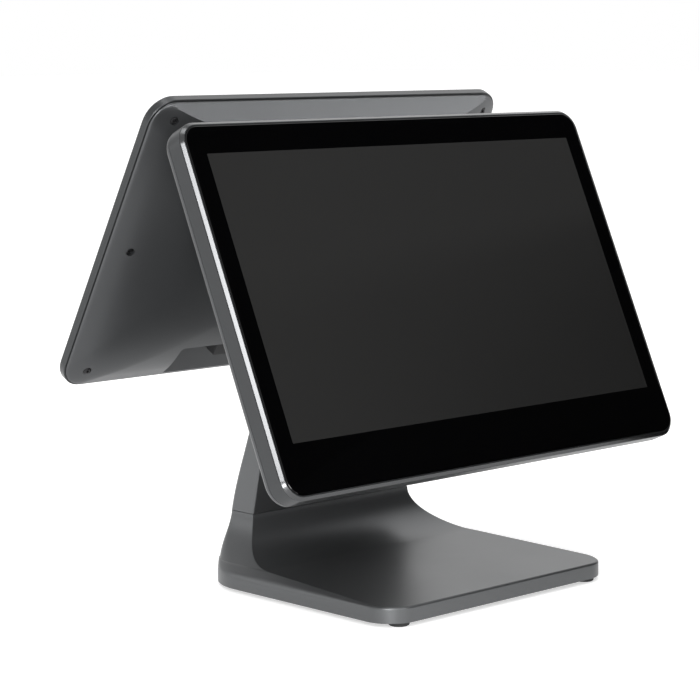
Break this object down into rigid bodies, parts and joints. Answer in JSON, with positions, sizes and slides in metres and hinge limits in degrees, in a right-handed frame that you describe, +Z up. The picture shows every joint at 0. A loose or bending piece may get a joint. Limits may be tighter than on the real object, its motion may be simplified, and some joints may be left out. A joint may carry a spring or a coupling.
{
  "type": "pos touchscreen terminal",
  "caption": "Dual-screen point-of-sale terminal: wide touch display and rear customer display, each on a tilt hinge atop a leaning neck and low foot.",
  "frame": {"origin": "on the counter, under the centre of the terminal's bounding box", "axes": "+X to the operator's right along both displays, +Y away from the operator, +Z up"},
  "size_m": [0.379, 0.2776, 0.3395],
  "materials": {
    "black_rubber": "matte",
    "grey_painted_casting": "satin",
    "grey_painted_plastic": "satin",
    "black_glass": "gloss",
    "lcd_module": "satin",
    "black_sheet_steel": "satin",
    "dark_casting": "satin",
    "plated_steel": "satin",
    "button_metal": "satin",
    "bare_aluminium": "satin",
    "circuit_board": "satin",
    "black_plastic": "matte"
  },
  "bodies": {
    "stand": {"ballast_plate": "black_sheet_steel", "base_bottom_cover": "black_sheet_steel", "base_shell": "grey_painted_casting", "customer_hinge_nut_left": "plated_steel", "customer_hinge_nut_right": "plated_steel", "customer_hinge_shaft": "plated_steel", "hinge_head": "dark_casting", "main_hinge_nut_left": "plated_steel", "main_hinge_nut_right": "plated_steel", "main_hinge_shaft": "plated_steel", "neck_rear_cover": "grey_painted_plastic", "neck_shell": "grey_painted_casting", "rubber_foot_1": "black_rubber", "rubber_foot_2": "black_rubber", "rubber_foot_3": "black_rubber", "rubber_foot_4": "black_rubber", "stand_spine": "black_sheet_steel"},
    "main_display": {"fan_housing": "black_plastic", "heatsink": "bare_aluminium", "main_back_cover": "grey_painted_plastic", "main_bracket_screw_1": "plated_steel", "main_bracket_screw_2": "plated_steel", "main_bracket_screw_3": "plated_steel", "main_bracket_screw_4": "plated_steel", "main_chassis": "black_sheet_steel", "main_connector_block": "black_plastic", "main_cover_screw_1": "plated_steel", "main_cover_screw_2": "plated_steel", "main_cover_screw_3": "plated_steel", "main_cover_screw_4": "plated_steel", "main_frame": "grey_painted_casting", "main_glass": "black_glass", "main_hinge_bracket": "dark_casting", "main_lcd_panel": "lcd_module", "mainboard": "circuit_board", "memory_module": "circuit_board", "power_switch_board": "circuit_board", "solid_state_drive": "circuit_board", "speaker_left": "black_plastic", "speaker_right": "black_plastic"},
    "power_button": {"power_button": "button_metal"},
    "fan_rotor": {"fan_rotor": "black_plastic"},
    "customer_display": {"customer_back_cover": "grey_painted_plastic", "customer_bracket_screw_1": "plated_steel", "customer_bracket_screw_2": "plated_steel", "customer_bracket_screw_3": "plated_steel", "customer_bracket_screw_4": "plated_steel", "customer_chassis": "black_sheet_steel", "customer_connector_block": "black_plastic", "customer_cover_screw_1": "plated_steel", "customer_cover_screw_2": "plated_steel", "customer_cover_screw_3": "plated_steel", "customer_cover_screw_4": "plated_steel", "customer_cover_screw_5": "plated_steel", "customer_cover_screw_6": "plated_steel", "customer_driver_board": "circuit_board", "customer_frame": "grey_painted_casting", "customer_glass": "black_glass", "customer_hinge_bracket": "dark_casting", "customer_lcd_panel": "lcd_module"}
  },
  "joints": [
    {"name": "main_tilt", "type": "hinge", "parent": "stand", "child": "main_display", "pos_m": [0, -0.009, 0.24], "axis": [1, 0, 0], "range_deg": [-8, 22]},
    {"name": "customer_tilt", "type": "hinge", "parent": "stand", "child": "customer_display", "pos_m": [0, 0.017, 0.232], "axis": [-1, 0, 0], "range_deg": [-4, 15]},
    {"name": "power_button_press", "type": "slide", "parent": "main_display", "child": "power_button", "axis": [-1, 0, 0], "range_m": [0, 0.001], "stiffness_N_per_m": 800, "springref_m": -0.0005},
    {"name": "fan_spin", "type": "hinge", "parent": "main_display", "child": "fan_rotor", "pos_m": [-0.07, -0.05199, 0.22319], "axis": [0, 0.9135, -0.4067], "continuous": true}
  ]
}
